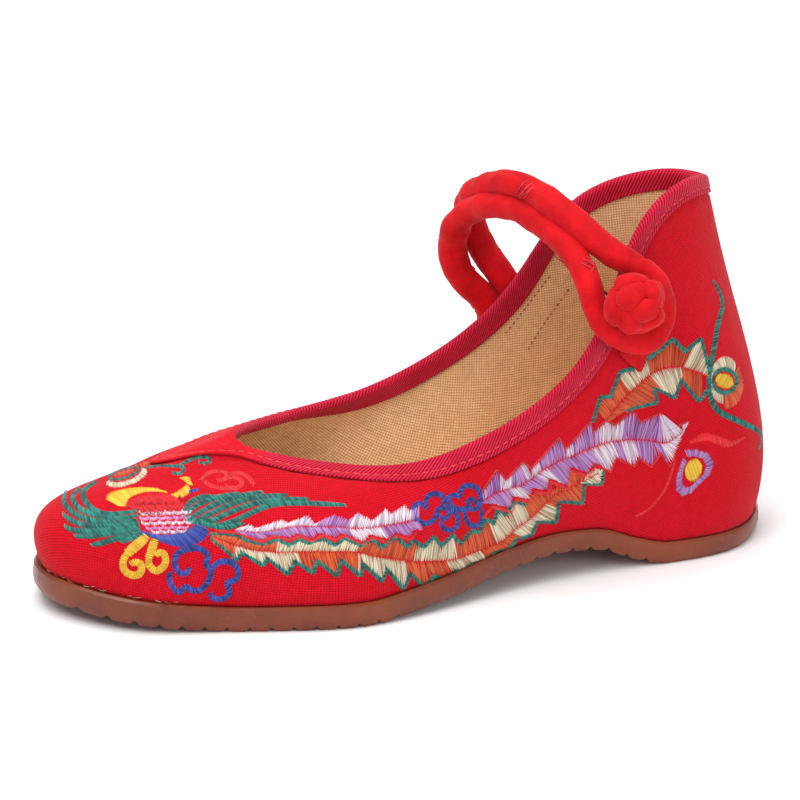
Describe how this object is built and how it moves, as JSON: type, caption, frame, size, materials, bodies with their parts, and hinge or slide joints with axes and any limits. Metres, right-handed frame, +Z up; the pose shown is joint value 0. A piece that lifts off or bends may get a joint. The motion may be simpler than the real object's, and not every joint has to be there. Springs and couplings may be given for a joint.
{
  "type": "cloth shoe",
  "caption": "Women's Chinese cloth shoe with a hidden heel wedge, gum sole, canvas upper, taped collar and a looped cloth strap closed by a knotted button.",
  "frame": {"origin": "middle of the heel pad's underside, on the floor", "axes": "+Z up, +Y from toe to heel, +X towards the outer side of the foot"},
  "size_m": [0.0895, 0.2416, 0.1212],
  "materials": {
    "gum_rubber": "smooth satin gum rubber",
    "tan_canvas": "plain weave cotton canvas",
    "red_canvas": "plain weave cotton canvas",
    "red_twill": "ribbed twill tape",
    "red_cotton": "smooth cotton"
  },
  "bodies": {
    "root": {"outsole": "gum_rubber", "insole": "tan_canvas", "upper": "red_canvas", "collar_binding": "red_twill", "strap": "red_cotton", "button_knot": "red_cotton", "button_tab": "red_cotton"}
  },
  "joints": []
}
